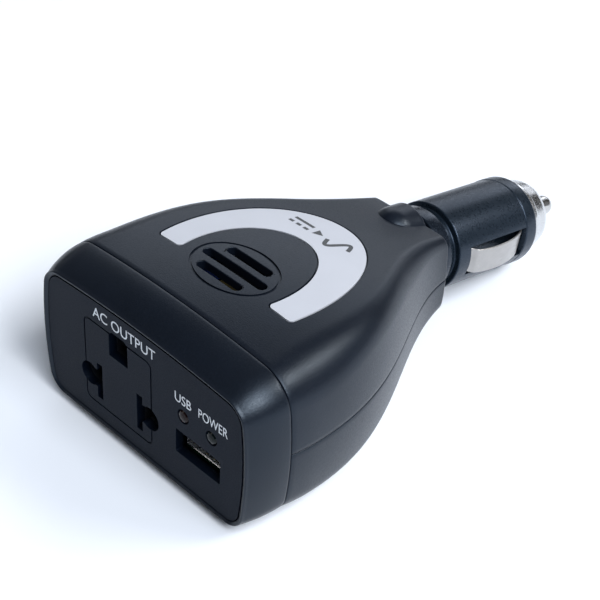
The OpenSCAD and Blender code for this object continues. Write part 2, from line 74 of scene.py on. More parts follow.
SEAM_Y = 9.2
NECK_Y = 77.3
FRONT_Y = -0.4
WALL = 2.0
LIP = 0.22  # rounding of the two shells' edges along the parting line
END_ROUND = 0.45  # rounding of the neck's end
NECK_HW = 12.2
BODY_HW = 33.98
TILT = math.radians(10.25)
PLUG_Y = NECK_Y + 6.34
PLUG_Z = -2.63
PLUG_R = 10.6
HUMP_R = 5.8
HUMP_UP = 6.93
HUMP_NOSE_Y = 72.9
ROOT_R = 9.0
COLLAR_R = 10.0
PLUG_AXIS = Vector((0, math.cos(TILT), -math.sin(TILT)))
PLUG_UP = Vector((0, math.sin(TILT), math.cos(TILT)))
PLUG_FRAME = Matrix.Translation(world(0, PLUG_Y, PLUG_Z)) @ Matrix(
    ((1, 0, 0, 0), (0, PLUG_UP.y, PLUG_AXIS.y, 0), (0, PLUG_UP.z, PLUG_AXIS.z, 0), (0, 0, 0, 1))
)


def ease(t):
    t = min(1.0, max(0.0, t))
    return t * t * (3 - 2 * t)


def mix(a, b, t):
    return a + (b - a) * t


def along(y):
    return (y - SEAM_Y) / 50


def half_w(y):
    t = min(1.0, max(0.0, (y - 8.24) / (NECK_Y - 5.3)))
    swell = (1 + math.cos(math.pi * t**1.383)) / 2
    return NECK_HW + (BODY_HW - NECK_HW) * swell - 0.45 * max(0, (16 - y) / 6.8) ** 2


def shell_sec(y):
    """Half width, top, bottom, parting height, upper and lower corner radius."""
    a = along(y)
    return (
        half_w(y),
        19.498 + 1.5 * a - 7 * a * a,
        -16.39 - 7.34 * a + 7.05 * a * a,
        1.3 - 2.53 * a,
        6.2 + ease((y - 9) / 8) - 2.4 * ease((y - 18) / 26) - 2.6 * ease((y - 56) / 21),
        5.5 - 0.5 * ease((y - 55) / 20),
    )


def bezel_sec(y):
    t = (y - FRONT_Y) / (SEAM_Y - FRONT_Y)
    f = 1 - (1 - t) ** 2
    s = shell_sec(SEAM_Y)
    front = (31.0, 16.4, -16.1, 0.4, 4.0, 3.6)
    return tuple(mix(front[i], s[i], t if i == 3 else f) for i in range(6))


def panel_sec(g):
    return (29.8 + g, 15.3 + g, -15.3 - g, 0.2, 3 + g, 3 + g)


def side_x(s, z, d):
    return s[0] - d - 2.5 * ((z - s[3]) / 20) ** 2


def roof_z(s, x, d=0.0):
    return s[1] - d - 1.48 * (x / 30) ** 2


def upper_pt(s, a, d):
    r = max(0.8, s[4] - d)
    u, v = r * (1 - math.cos(a)), r * (1 - math.sin(a))
    x = s[0] - d - u
    for _ in range(3):
        z = roof_z(s, x, d) - v
        x = side_x(s, z, d) - u
    return x, z


def lower_pt(s, a, d):
    r = max(0.8, s[5] - d)
    z = s[2] + d + r * (1 - math.sin(a))
    return side_x(s, z, d) - r * (1 - math.cos(a)), z


def upper_half(y, d, edge=0.0, n=(12, 16, 30)):
    """Right side of the upper shell from the parting line to the middle of the roof."""
    s = shell_sec(y)
    z0 = s[3] + edge
    zu = upper_pt(s, 0, d)[1]
    pts = [(side_x(s, z, d), z) for z in np.linspace(z0, zu, n[0] + 1)[:-1]]
    pts += [upper_pt(s, a, d) for a in np.linspace(0, math.pi / 2, n[1] + 1)]
    xr = pts[-1][0]
    return pts + [(x, roof_z(s, x, d)) for x in np.linspace(xr, 0, n[2] + 1)[1:]]


def lower_half(y, d, edge=0.0, n=(12, 14, 18)):
    """Right side of the lower shell from the parting line to the middle of the floor."""
    s = shell_sec(y)
    zl = lower_pt(s, 0, d)[1]
    pts = [(side_x(s, z, d), z) for z in np.linspace(s[3] - edge, zl, n[0] + 1)[:-1]]
    pts += [lower_pt(s, a, d) for a in np.linspace(0, math.pi / 2, n[1] + 1)]
    xr = pts[-1][0]
    return pts + [(x, s[2] + d) for x in np.linspace(xr, 0, n[2] + 1)[1:]]


def both_sides(half):
    return half + [(-x, z) for x, z in half[-2::-1]]


def full_section(s, d, n=(14, 16, 16, 30)):
    """Closed outline of a section, from the middle of the floor round to itself."""
    pts = [(x, s[2] + d) for x in np.linspace(0, lower_pt(s, math.pi / 2, d)[0], n[0] + 1)[:-1]]
    pts += [lower_pt(s, a, d) for a in np.linspace(math.pi / 2, 0, n[1] + 1)]
    zl, zu = lower_pt(s, 0, d)[1], upper_pt(s, 0, d)[1]
    pts += [(side_x(s, z, d), z) for z in np.linspace(zl, zu, n[2] + 1)[1:-1]]
    pts += [upper_pt(s, a, d) for a in np.linspace(0, math.pi / 2, n[1] + 1)]
    pts += [(x, roof_z(s, x, d)) for x in np.linspace(pts[-1][0], 0, n[3] + 1)[1:]]
    return pts + [(-x, z) for x, z in pts[-2:0:-1]]


# ---------------------------------------------------------------- mesh helpers
def new_object(name, verts, faces, smooth=True):
    me = bpy.data.meshes.new(name)
    me.from_pydata([tuple(v) for v in verts], [], faces)
    me.validate()
    ob = bpy.data.objects.new(name, me)
    bpy.context.scene.collection.objects.link(ob)
    bm = bmesh.new()
    bm.from_mesh(me)
    bmesh.ops.recalc_face_normals(bm, faces=bm.faces)
    bm.to_mesh(me)
    bm.free()
    for p in me.polygons:
        p.use_smooth = smooth
    return ob


def grid_faces(rows, cols, close_rows, close_cols):
    faces = []
    for i in range(rows if close_rows else rows - 1):
        for j in range(cols if close_cols else cols - 1):
            i2, j2 = (i + 1) % rows, (j + 1) % cols
            faces.append((i * cols + j, i * cols + j2, i2 * cols + j2, i2 * cols + j))
    return faces


def prism(name, outline, lo, hi, place):
    """Closed prism of a 2D outline between two depths; place turns (u, v, depth) into world."""
    n = len(outline)
    verts = [place(u, v, lo) for u, v in outline] + [place(u, v, hi) for u, v in outline]
    faces = [tuple(range(n)), tuple(range(2 * n - 1, n - 1, -1))]
    faces += [(i, (i + 1) % n, n + (i + 1) % n, n + i) for i in range(n)]
    return new_object(name, verts, faces, smooth=False)


def apply_modifiers(ob):
    dg = bpy.context.evaluated_depsgraph_get()
    me = bpy.data.meshes.new_from_object(ob.evaluated_get(dg))
    ob.modifiers.clear()
    ob.data = me
    return ob


def cut(ob, cutters, operation="DIFFERENCE"):
    for c in cutters:
        m = ob.modifiers.new("cut", "BOOLEAN")
        m.operation, m.solver, m.object = operation, "EXACT", c
        bpy.context.view_layer.update()
        apply_modifiers(ob)
        bpy.data.objects.remove(c)
    return ob


def bevel(ob, width_mm, segments=2, angle=35):
    m = ob.modifiers.new("edge", "BEVEL")
    m.width, m.segments, m.limit_method = width_mm * MM, segments, "ANGLE"
    m.angle_limit = math.radians(angle)
    m.harden_normals = True
    bpy.context.view_layer.update()
    return apply_modifiers(ob)


def auto_smooth(ob, angle=35):
    ob.data.shade_smooth()
    ob.data.set_sharp_from_angle(angle=math.radians(angle))
    return ob


def soften(ob, inside, width_mm, turn=50, segments=2):
    """Rounds the sharp edges whose middle passes a test on its design coordinates."""
    bm = bmesh.new()
    bm.from_mesh(ob.data)
    layer = bm.edges.layers.float.get("bevel_weight_edge") or bm.edges.layers.float.new("bevel_weight_edge")
    for e in bm.edges:
        if len(e.link_faces) != 2 or e.calc_face_angle(0.0) < math.radians(turn):
            continue
        c = (e.verts[0].co + e.verts[1].co) / 2
        e[layer] = 1.0 if inside(c.x / MM, (c.y - PANEL_FRONT) / MM, (c.z - MID_HEIGHT) / MM) else 0.0
    bm.to_mesh(ob.data)
    bm.free()
    m = ob.modifiers.new("round", "BEVEL")
    m.width, m.segments, m.limit_method, m.use_clamp_overlap = width_mm * MM, segments, "WEIGHT", False
    bpy.context.view_layer.update()
    return apply_modifiers(ob)


def flat_first(ob):
    """Keeps large flat faces flat and shades only the narrow rounded edges round."""
    auto_smooth(ob, 60)
    m = ob.modifiers.new("normals", "WEIGHTED_NORMAL")
    m.keep_sharp = True
    bpy.context.view_layer.update()
    return apply_modifiers(ob)


def keep_curvature(ob, source_mesh, angle=35):
    """Gives the faces that still lie on the uncut surface its smooth normals."""
    auto_smooth(ob, angle)
    polys = source_mesh.polygons
    verts = source_mesh.vertices
    tree = BVHTree.FromPolygons([v.co for v in verts], [p.vertices[:] for p in polys])
    normals = [c.vector.copy() for c in ob.data.corner_normals]
    for p in ob.data.polygons:
        hit, face_n, idx, dist = tree.find_nearest(p.center)
        if idx is None or dist > 2e-5 or p.normal.dot(face_n) < 0.97:
            continue
        for li in p.loop_indices:
            co = ob.data.vertices[ob.data.loops[li].vertex_index].co
            hit, _, i2, dist = tree.find_nearest(co)
            if dist > 2e-5:
                continue
            vi = polys[i2].vertices
            w = poly_3d_calc([verts[v].co for v in vi], hit)
            n = Vector((0, 0, 0))
            for k, v in zip(w, vi):
                n += verts[v].normal * k
            normals[li] = n.normalized()
    ob.data.normals_split_custom_set(normals)
    return ob


def lathe(name, profile, segments=160, place=PLUG_FRAME, closed=True):
    """Turned piece: profile is [(station, radius)] along the plug's axis, in millimetres."""
    verts, faces, rows = [], [], []
    for s, r in profile:
        if r < 1e-6:
            verts.append(place @ Vector((0, 0, s * MM)))
            rows.append([len(verts) - 1] * segments)
        else:
            base = len(verts)
            for k in range(segments):
                a = 2 * math.pi * k / segments
                verts.append(place @ Vector((r * MM * math.cos(a), r * MM * math.sin(a), s * MM)))
            rows.append(list(range(base, base + segments)))
    pairs = list(zip(rows, rows[1:])) + ([(rows[-1], rows[0])] if closed else [])
    for a, b in pairs:
        for k in range(segments):
            k2 = (k + 1) % segments
            f = [a[k], a[k2], b[k2], b[k]]
            f = [v for i, v in enumerate(f) if v not in f[:i]]
            if len(f) > 2:
                faces.append(f)
    return auto_smooth(new_object(name, verts, faces), 30)


def rounded(profile, radius, steps=4):
    """Rounds the corners of an open (station, radius) profile."""
    out = [profile[0]]
    for a, b, c in zip(profile, profile[1:], profile[2:]):
        b_ = Vector(b)
        va, vc = Vector(a) - b_, Vector(c) - b_
        k = min(radius, va.length * 0.45, vc.length * 0.45)
        p, q = b_ + va.normalized() * k, b_ + vc.normalized() * k
        for i in range(steps + 1):
            t = i / steps
            out.append(tuple(p * (1 - t) ** 2 + b_ * 2 * t * (1 - t) + q * t * t))
    return out + [profile[-1]]


# ---------------------------------------------------------------- materials
def material(name):
    m = bpy.data.materials.new(name)
    m.use_nodes = True
    nt = m.node_tree
    bsdf = nt.nodes["Principled BSDF"]
    coord = nt.nodes.new("ShaderNodeTexCoord")
    return m, nt, bsdf, coord.outputs["Object"]


def noise(nt, vec, scale, detail=3.0, rough=0.55):
    n = nt.nodes.new("ShaderNodeTexNoise")
    n.inputs["Scale"].default_value = scale
    n.inputs["Detail"].default_value = detail
    n.inputs["Roughness"].default_value = rough
    nt.links.new(vec, n.inputs["Vector"])
    return n.outputs["Fac"]


def span(nt, fac, lo, hi, from_lo=0.3, from_hi=0.7):
    n = nt.nodes.new("ShaderNodeMapRange")
    n.inputs["From Min"].default_value = from_lo
    n.inputs["From Max"].default_value = from_hi
    n.inputs["To Min"].default_value = lo
    n.inputs["To Max"].default_value = hi
    nt.links.new(fac, n.inputs["Value"])
    return n.outputs["Result"]


def blend_colors(nt, fac, a, b):
    n = nt.nodes.new("ShaderNodeMix")
    n.data_type = "RGBA"
    n.inputs[6].default_value = (*a, 1)
    n.inputs[7].default_value = (*b, 1)
    nt.links.new(fac, n.inputs[0])
    return n.outputs[2]


def bump(nt, bsdf, height, distance_mm, strength=1.0):
    n = nt.nodes.new("ShaderNodeBump")
    n.inputs["Strength"].default_value = strength
    n.inputs["Distance"].default_value = distance_mm * MM
    nt.links.new(height, n.inputs["Height"])
    nt.links.new(n.outputs["Normal"], bsdf.inputs["Normal"])


BLUISH = (0.55, 0.72, 1.0)
SATIN = (0.72, 0.86, 1.0)
WHITE = (1, 1, 1)


def moulded(name, color, rough, grain_mm=0.35, depth_mm=0.012, spread=0.12, specular=0.5, tint=BLUISH):
    """Moulded plastic with a spark-eroded grain and a little unevenness in colour and gloss."""
    m, nt, bsdf, vec = material(name)
    grain = noise(nt, vec, 1 / (grain_mm * MM), 2.0, 0.6)
    cloud = noise(nt, vec, 1 / (9 * MM), 4.0)
    lighter = tuple(c * (1 + spread) for c in color)
    darker = tuple(c * (1 - spread) for c in color)
    nt.links.new(blend_colors(nt, span(nt, cloud, 0, 1), darker, lighter), bsdf.inputs["Base Color"])
    nt.links.new(span(nt, grain, rough - 0.07, rough + 0.07), bsdf.inputs["Roughness"])
    bsdf.inputs["Specular IOR Level"].default_value = specular
    bsdf.inputs["Specular Tint"].default_value = (*tint, 1)
    bump(nt, bsdf, grain, depth_mm)
    return m


def metal(name, color, rough, scratch_mm=0.5, depth_mm=0.003, stretch=(1, 1, 1), spread=0.08):
    m, nt, bsdf, vec = material(name)
    mp = nt.nodes.new("ShaderNodeMapping")
    mp.inputs["Scale"].default_value = stretch
    nt.links.new(vec, mp.inputs["Vector"])
    fine = noise(nt, mp.outputs["Vector"], 1 / (scratch_mm * MM), 4.0, 0.65)
    cloud = noise(nt, vec, 1 / (3 * MM), 3.0)
    nt.links.new(
        blend_colors(nt, span(nt, cloud, 0, 1), tuple(c * (1 - spread) for c in color), color),
        bsdf.inputs["Base Color"],
    )
    bsdf.inputs["Metallic"].default_value = 1.0
    nt.links.new(span(nt, fine, rough * 0.7, rough * 1.35), bsdf.inputs["Roughness"])
    bump(nt, bsdf, fine, depth_mm)
    return m


MATERIALS = {
    "foot_rubber": moulded("foot_rubber", (0.010, 0.010, 0.011), 0.7, 0.4, 0.02, 0.15, 0.3, WHITE),
    "shell_black": moulded("shell_plastic", (0.0034, 0.0054, 0.0104), 0.35, 0.32, 0.022, 0.12, 0.35, SATIN),
    "bezel_black": moulded("bezel_plastic", (0.0034, 0.0054, 0.0100), 0.35, 0.32, 0.022, 0.12, 0.35, SATIN),
    "panel_black": moulded("panel_plastic", (0.0011, 0.0028, 0.0072), 0.55, 0.3, 0.008, 0.12, 0.14),
    "inner_black": moulded("inner_plastic", (0.012, 0.012, 0.014), 0.5, 0.5, 0.006),
    "plug_black": moulded("plug_plastic", (0.0048, 0.0085, 0.0130), 0.31, 0.6, 0.004, 0.08),
    "collar_black": moulded("collar_plastic", (0.0045, 0.0070, 0.0110), 0.24, 0.6, 0.001, 0.08, 0.4),
    "badge_silver": moulded("badge_silver", (0.465, 0.490, 0.54), 0.38, 0.25, 0.003, 0.02, 0.5, WHITE),
    "brass": metal("brass_strip", (0.72, 0.50, 0.20), 0.3),
    "nickel": metal("nickel_pin", (0.58, 0.57, 0.56), 0.2, 0.4, 0.0006),
    "nickel_cap": metal("nickel_cap", (0.66, 0.66, 0.66), 0.24, 0.4, 0.0006),
    "contact_nickel": metal("nickel_strip", (0.47, 0.455, 0.44), 0.36, 0.5, 0.001, (1, 0.15, 1)),
    "port_steel": metal("tinned_steel", (0.72, 0.73, 0.75), 0.25, 0.5, 0.0005),
    # painted shade: the white tongue is given a mid grey so that it stands in for the shade inside the deep port
    # opening
    "tongue_white": moulded("tongue_plastic_painted_shade", (0.25, 0.25, 0.24), 0.45, 0.5, 0.003, 0.04, 0.5, WHITE),
    "gold_plate": metal("gold_plate", (0.83, 0.60, 0.22), 0.25),
    "tinned_wire": metal("tinned_wire", (0.6, 0.6, 0.62), 0.35),
    "screw_steel": metal("zinc_screw", (0.52, 0.52, 0.54), 0.35, 0.3, 0.004),
    "screw_brass": metal("brass_screw", (0.6, 0.5, 0.3), 0.35, 0.3, 0.004),
    "board_green": moulded("solder_mask", (0.01, 0.06, 0.025), 0.3, 1.2, 0.01, 0.25, 0.5, WHITE),
    "ferrite": moulded("ferrite", (0.03, 0.03, 0.032), 0.6, 0.2, 0.01),
    "winding_tape": moulded("winding_tape", (0.05, 0.04, 0.015), 0.45, 1.0, 0.006, 0.12, 0.3, WHITE),
    "cap_sleeve": moulded("capacitor_sleeve", (0.02, 0.04, 0.16), 0.3, 2.0, 0.004, 0.12, 0.5, WHITE),
    "chip_black": moulded("moulded_epoxy", (0.015, 0.015, 0.016), 0.5, 0.2, 0.006),
    "sink_aluminium": metal("sink_aluminium", (0.6, 0.61, 0.63), 0.4, 0.4, 0.006, (1, 1, 0.1)),
    # enamelled copper's own reddish brown, made darker still as painted shade for the unlit inside seen through the
    # openings
    "copper_winding": metal("enamelled_copper_painted_shade", (0.20, 0.07, 0.025), 0.35, 0.6, 0.02),
    "wire_red": moulded("red_insulation", (0.4, 0.02, 0.015), 0.4, 1.0, 0.004, 0.12, 0.5, WHITE),
    "wire_black": moulded("black_insulation", (0.012, 0.012, 0.013), 0.4, 1.0, 0.004),
    "spring_steel": metal("spring_steel", (0.55, 0.55, 0.57), 0.3),
    "washer_fibre": moulded("fibre_washer", (0.2, 0.07, 0.025), 0.7, 0.3, 0.02, 0.3, 0.5, WHITE),
}


def tinted(name, color, rough=0.12):
    m, nt, bsdf, vec = material(name)
    cloud = noise(nt, vec, 1 / (1.2 * MM), 3.0)
    nt.links.new(
        blend_colors(nt, span(nt, cloud, 0, 1), tuple(c * 0.6 for c in color), color),
        bsdf.inputs["Base Color"],
    )
    nt.links.new(span(nt, cloud, rough * 0.8, rough * 1.4), bsdf.inputs["Roughness"])
    bsdf.inputs["Specular IOR Level"].default_value = 0.2
    return m


MATERIALS["print_white"] = moulded("print_ink", (0.62, 0.66, 0.70), 0.5, 0.2, 0.002, 0.05, tint=WHITE)
MATERIALS["mark_grey"] = moulded("mark_ink", (0.05, 0.055, 0.06), 0.5, 0.2, 0.002, 0.1, tint=WHITE)
MATERIALS["lamp_red"] = tinted("red_lens", (0.010, 0.0035, 0.003))
MATERIALS["lamp_green"] = tinted("green_lens", (0.0012, 0.005, 0.005))
MATERIALS["fuse_glass"] = tinted("fuse_tube", (0.85, 0.9, 0.9), 0.05)
MATERIALS["fuse_glass"].node_tree.nodes["Principled BSDF"].inputs["Transmission Weight"].default_value = 0.95

SLOT_OF = {p["node"]: p["material_slot"] for p in RECORD["subparts"]}
for node_name, ob in NODES.items():
    ob.data.materials.clear()
    ob.data.materials.append(MATERIALS[SLOT_OF[node_name]])


def finish_piece(ob, body, slot, *nodes, mat=None):
    ob.data.materials.clear()
    ob.data.materials.append(mat or MATERIALS[slot])
    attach(ob, body)
    if nodes:
        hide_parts(*nodes)
    return ob


# ---------------------------------------------------------------- shells
def shell_rows(side):
    """Rows of one shell half: front edge, outer skin, neck end wall, inner skin."""
    half = upper_half if side > 0 else lower_half
    gap = 0.0 if side > 0 else 0.12
    centre_z = PLUG_Z - (NECK_Y - PLUG_Y) * math.tan(TILT)

    def row(y, d):
        h = half(y, d, gap + LIP)
        s = shell_sec(y)
        z = s[3] + side * gap
        x = side_x(s, z, d)
        lip = [(x - LIP, z), (x - LIP * 0.3, z + side * LIP * 0.3)]
        return both_sides(lip + h)

    rows = [(SEAM_Y + 0.06, row(SEAM_Y + 0.06, 0.25)), (SEAM_Y + 0.13, row(SEAM_Y + 0.13, 0.07))]
    ys = list(np.arange(SEAM_Y + 0.3, 64, 1.0))
    ys += list(np.arange(64, NECK_Y - 0.6, 0.45)) + [NECK_Y - END_ROUND]
    rows += [(y, row(y, 0.0)) for y in ys]
    end = row(NECK_Y, 0.0)

    def toward(p, dist):
        v = Vector((p[0], p[1] - centre_z))
        k = max(0.0, v.length - dist) / v.length
        return (v.x * k, centre_z + v.y * k)

    for a in np.linspace(0, math.pi / 2, 6)[1:]:
        inset = END_ROUND * (1 - math.cos(a))
        rows.append((NECK_Y - END_ROUND + END_ROUND * math.sin(a), [toward(p, inset) for p in end]))

    def circle(p):
        v = Vector((p[0], (p[1] - centre_z) * math.cos(TILT)))
        k = 8.6 / v.length
        return (p[0] * k, centre_z + (p[1] - centre_z) * k)

    ring = [circle(p) for p in end]
    drop = math.tan(TILT)
    end_wall = 2.4
    rows.append((NECK_Y, ring))
    rows.append((NECK_Y - end_wall, [(x, z + end_wall * drop) for x, z in ring]))
    inner = list(np.arange(SEAM_Y + 0.3, 64, 3.0))
    inner += list(np.arange(64, NECK_Y - end_wall, 2.0)) + [NECK_Y - end_wall]
    rows += [(y, row(y, WALL)) for y in reversed(inner)]
    rows.append((SEAM_Y + 0.06, row(SEAM_Y + 0.06, WALL)))
    return rows


def shell_mesh(name, side):
    rows = shell_rows(side)
    cols = len(rows[0][1])
    verts = [world(x, y, z) for y, pts in rows for x, z in pts]
    faces = grid_faces(len(rows), cols, True, False)
    faces.append(tuple(i * cols for i in range(len(rows))))
    faces.append(tuple(i * cols + cols - 1 for i in range(len(rows) - 1, -1, -1)))
    return new_object(name, verts, faces)


def ellipse(rx, ry, cy, a0, a1, n):
    return [
        (rx * math.cos(a), cy + ry * math.sin(a)) for a in np.linspace(math.radians(a0), math.radians(a1), n)
    ]


BADGE_FOOT = 21.3
BADGE_CORNER = 1
BADGE_OUTER = (19.9, 29, 27.2)  # half width, half length and centre of the outer ellipse
BADGE_INNER = (13.5, 18.2, 25.7)


def badge_outline(g):
    """U-shaped outline, open towards the front panel, grown by g."""
    foot = BADGE_FOOT + BADGE_CORNER
    (ox, oy, oc), (ix, iy, ic) = BADGE_OUTER, BADGE_INNER
    ao = math.degrees(math.asin((foot - oc) / oy))
    ai = math.degrees(math.asin((foot - ic) / iy))
    xo = ox * math.cos(math.radians(ao)) - BADGE_CORNER
    xi = ix * math.cos(math.radians(ai)) + BADGE_CORNER
    r = BADGE_CORNER + g

    def corner(cx, a0, a1):
        return [
            (cx + r * math.cos(math.radians(a)), foot + r * math.sin(math.radians(a)))
            for a in np.linspace(a0, a1, 9)[1:]
        ]

    return (
        ellipse(ox + g, oy + g, oc, ao, 180 - ao, 120)
        + corner(-xo, 180, 270)
        + corner(-xi, 270, 360)[:-1]
        + ellipse(ix - g, iy - g, ic, 180 - ai, ai, 90)
        + corner(xi, 180, 270)
        + corner(xo, 270, 360)[:-1]
    )


def capsule(half_len, w, cy, n=16):
    r = w / 2
    pts = []
    for side, a0 in ((1, -90), (-1, 90)):
        for a in np.linspace(a0, a0 + 180, n):
            a = math.radians(a)
            pts.append((side * (half_len - r) + r * math.cos(a), cy + r * math.sin(a)))
    return pts


def disc(cx, cy, r, n):
    return [(cx + r * math.cos(a), cy + r * math.sin(a)) for a in np.linspace(0, 2 * math.pi, n + 1)[:-1]]


def roof_slab(name, lo_off, hi_off, x1, y0, y1, step=1.0):
    """Closed slab that follows the roof between two heights above it."""
    xs = np.arange(-x1, x1 + step / 2, step)
    ys = np.arange(y0, y1 + step / 2, step)
    verts = [world(x, y, roof_z(shell_sec(y), x) + hi_off) for y in ys for x in xs]
    verts += [world(x, y, roof_z(shell_sec(y), x) + lo_off) for y in ys for x in xs]
    n, m = len(ys), len(xs)
    top = grid_faces(n, m, False, False)
    faces = top + [tuple(n * m + i for i in reversed(f)) for f in top]
    rim = list(range(m)) + [i * m + m - 1 for i in range(1, n)]
    rim += list(range(n * m - 2, (n - 1) * m - 1, -1)) + [i * m for i in range(n - 2, 0, -1)]
    faces += [(a, b, n * m + b, n * m + a) for a, b in zip(rim, rim[1:] + rim[:1])]
    return new_object(name, verts, faces)


def hump_mesh():
    """Round-nosed boss, parallel to the plug, that breaks through the roof of the neck."""
    ys = list(np.linspace(66.7, HUMP_NOSE_Y, 26)) + list(np.arange(73.2, NECK_Y - 0.5, 0.4))
    rows = [(y, 0.0) for y in ys]
    for a in np.linspace(0, math.pi / 2, 6):
        rows.append((NECK_Y - END_ROUND + END_ROUND * math.sin(a), END_ROUND * (1 - math.cos(a))))
    verts, n = [], 72
    for y, inset in rows:
        z0 = PLUG_Z + HUMP_UP / math.cos(TILT) - (y - PLUG_Y) * math.tan(TILT)
        nose = max(0.0, (HUMP_NOSE_Y - y) / HUMP_R)
        r = HUMP_R * math.sqrt(max(0.003, 1 - nose * nose)) - inset
        for k in range(n):
            a = 2 * math.pi * k / n
            verts.append(world(r * math.cos(a), y, z0 + r * math.sin(a) / math.cos(TILT)))
    faces = grid_faces(len(rows), n, False, True)
    faces += [tuple(range(n)), tuple((len(rows) - 1) * n + k for k in range(n - 1, -1, -1))]
    return new_object("hump", verts, faces)


def socket_cutter():
    """Clears the neck for the plug's root and its collar."""
    root, rim = ROOT_R + 0.06, COLLAR_R + 0.12
    return lathe("bore", [(-17, 0), (-17, root), (-8.6, root), (-8.6, rim), (4, rim), (4, 0)])


VENT_Y = 24.6
RING_OUTER = (10.5, 8.2)
RING_INNER = (9.9, 7.6)

upper = shell_mesh("upper_shell", 1)
upper_source = upper.data.copy()
cut(upper, [hump_mesh()], "UNION")
recess = prism("recess", badge_outline(0.32), 0, 30, world)
cut(recess, [roof_slab("above", -0.55, 8, 22, 18, 60)], "INTERSECT")
ring_cut = prism("ring_cut", ellipse(*RING_OUTER, VENT_Y, 0, 355, 72), 0, 30, world)
cut(ring_cut, [prism("ring_core", ellipse(*RING_INNER, VENT_Y, 0, 355, 72), -1, 31, world)])
cut(ring_cut, [roof_slab("above", -0.35, 8, 14, 14, 36)], "INTERSECT")
vents = [prism("vent", capsule(h, 2.3, 24.5 + k * 4.1), 5, 30, world) for k, h in ((-1, 6.2), (0, 9), (1, 6.2))]
cut(upper, [recess, ring_cut, socket_cutter()] + vents)


def on_roof(x, y, z):
    return y < 60 and z > 8 and abs(z - roof_z(shell_sec(y), x)) < 0.05


def on_vent(x, y, z):
    return on_roof(x, y, z) and (x / RING_INNER[0]) ** 2 + ((y - VENT_Y) / RING_INNER[1]) ** 2 < 0.97


def on_recess(x, y, z):
    clear_of_ring = (x / 10.9) ** 2 + ((y - VENT_Y) / 8.6) ** 2 > 1
    return on_roof(x, y, z) and y > 21 and clear_of_ring


soften(upper, on_vent, 0.24, segments=3)
soften(upper, on_recess, 0.1)
keep_curvature(upper, upper_source)
finish_piece(upper, "housing", "shell_black", "top_shell")

lower = shell_mesh("lower_shell", -1)
lower_source = lower.data.copy()
wells = []
for sx in (-1, 1):
    for px, py, r, top in ((25.8, 21.8, 2.5, -12.0), (10.2, 64.5, 2.2, -10.0)):
        wells.append(prism("well", disc(sx * px, py, r, 40), -30, top, world))
for sx in (-1, 1):
    for px, py, top in ((21, 15.5, -16.4), (11, 53, -16.95)):
        wells.append(prism("pocket", disc(sx * px, py, 3.1, 48), -30, top + 0.02, world))
cut(lower, wells + [socket_cutter()])
keep_curvature(lower, lower_source)
finish_piece(lower, "housing", "shell_black", "bottom_shell")

# ---------------------------------------------------------------- bezel and panel
inner_ring = full_section(panel_sec(0.26), 0)
edge_ring = full_section(bezel_sec(0.15), 0)


def ring_mix(t):
    return [(mix(a[0], b[0], t), mix(a[1], b[1], t)) for a, b in zip(inner_ring, edge_ring)]


# profile of the front edge, from the panel outwards: (share of the way across, depth)
RIM = (
    (0.0, 0.1), (0.08, 0.0), (0.3, -0.15), (0.5, -0.3), (0.62, -0.38), (0.72, -0.4), (0.82, -0.37), (0.91, -0.28),
    (0.97, -0.12),
)
BEZEL_STATIONS = (0.15, 0.5, 0.9, 1.4, 2, 2.7, 3.5, 4.4, 5.4, 6.5, 7.6, 8.5, 8.9)
bezel_rows = [(2.1, inner_ring)] + [(y, ring_mix(t)) for t, y in RIM]
bezel_rows += [(y, full_section(bezel_sec(y), 0)) for y in BEZEL_STATIONS]
BEZEL_BACK = ((9.07, 0.07), (9.14, 0.25), (9.14, 2.1), (3.2, 2.1))
bezel_rows += [(y, full_section(bezel_sec(y), d)) for y, d in BEZEL_BACK]
bezel_rows += [(3.2, full_section(panel_sec(-1.3), 0)), (2.1, full_section(panel_sec(-1.3), 0))]
bezel = new_object(
    "bezel",
    [world(x, y, z) for y, pts in bezel_rows for x, z in pts],
    grid_faces(len(bezel_rows), len(inner_ring), True, True),
)
auto_smooth(bezel, 40)
finish_piece(bezel, "housing", "bezel_black", "front_bezel")

SOCKET_X = -6.9
PIN_HOLE_R = 2.75
USB_X = 17.1
USB_Z = -4.75


def front(u, v, depth):
    return world(u, depth, v)


def box_outline(cx, cz, w, h, r=0.0, n=6):
    if r <= 0:
        return [(cx + a * w / 2, cz + b * h / 2) for a, b in ((-1, -1), (1, -1), (1, 1), (-1, 1))]
    pts = []
    for sx, sz, a0 in ((1, -1, -90), (1, 1, 0), (-1, 1, 90), (-1, -1, 180)):
        for a in np.linspace(a0, a0 + 90, n):
            a = math.radians(a)
            pts.append((cx + sx * (w / 2 - r) + r * math.cos(a), cz + sz * (h / 2 - r) + r * math.sin(a)))
    return pts


def hole_outlines():
    """Outlines of the outlet: a flat slot joined to a round hole on each side, and the earth hole."""
    out = []
    for s in (-1, 1):
        slot_x, pin_x = 6.35, 9.5
        a0 = math.degrees(math.asin(2.2 / PIN_HOLE_R))
        angles = [math.radians(a) for a in np.linspace(-180 + a0, 180 - a0, 36)]
        arc = [(pin_x + PIN_HOLE_R * math.cos(a), -4.8 + PIN_HOLE_R * math.sin(a)) for a in angles]
        pts = [(slot_x - 0.85, -9.7), (slot_x + 0.85, -9.7), (slot_x + 0.85, -7.0)]
        pts += arc + [(slot_x + 0.85, -2.6), (slot_x + 0.85, -0.7), (slot_x - 0.85, -0.7)]
        out.append([(SOCKET_X + s * x, z) for x, z in pts])
    angles = [math.radians(a) for a in np.linspace(31.5, 148.5, 24)]
    arc = [(3.4 * math.cos(a), 7.4 + 3.4 * math.sin(a)) for a in angles]
    arc = [(max(-2.9, min(2.9, x)), min(10.2, z)) for x, z in arc]
    out.append([(SOCKET_X + x, z) for x, z in [(-2.9, 4.0), (2.9, 4.0)] + arc])
    return out


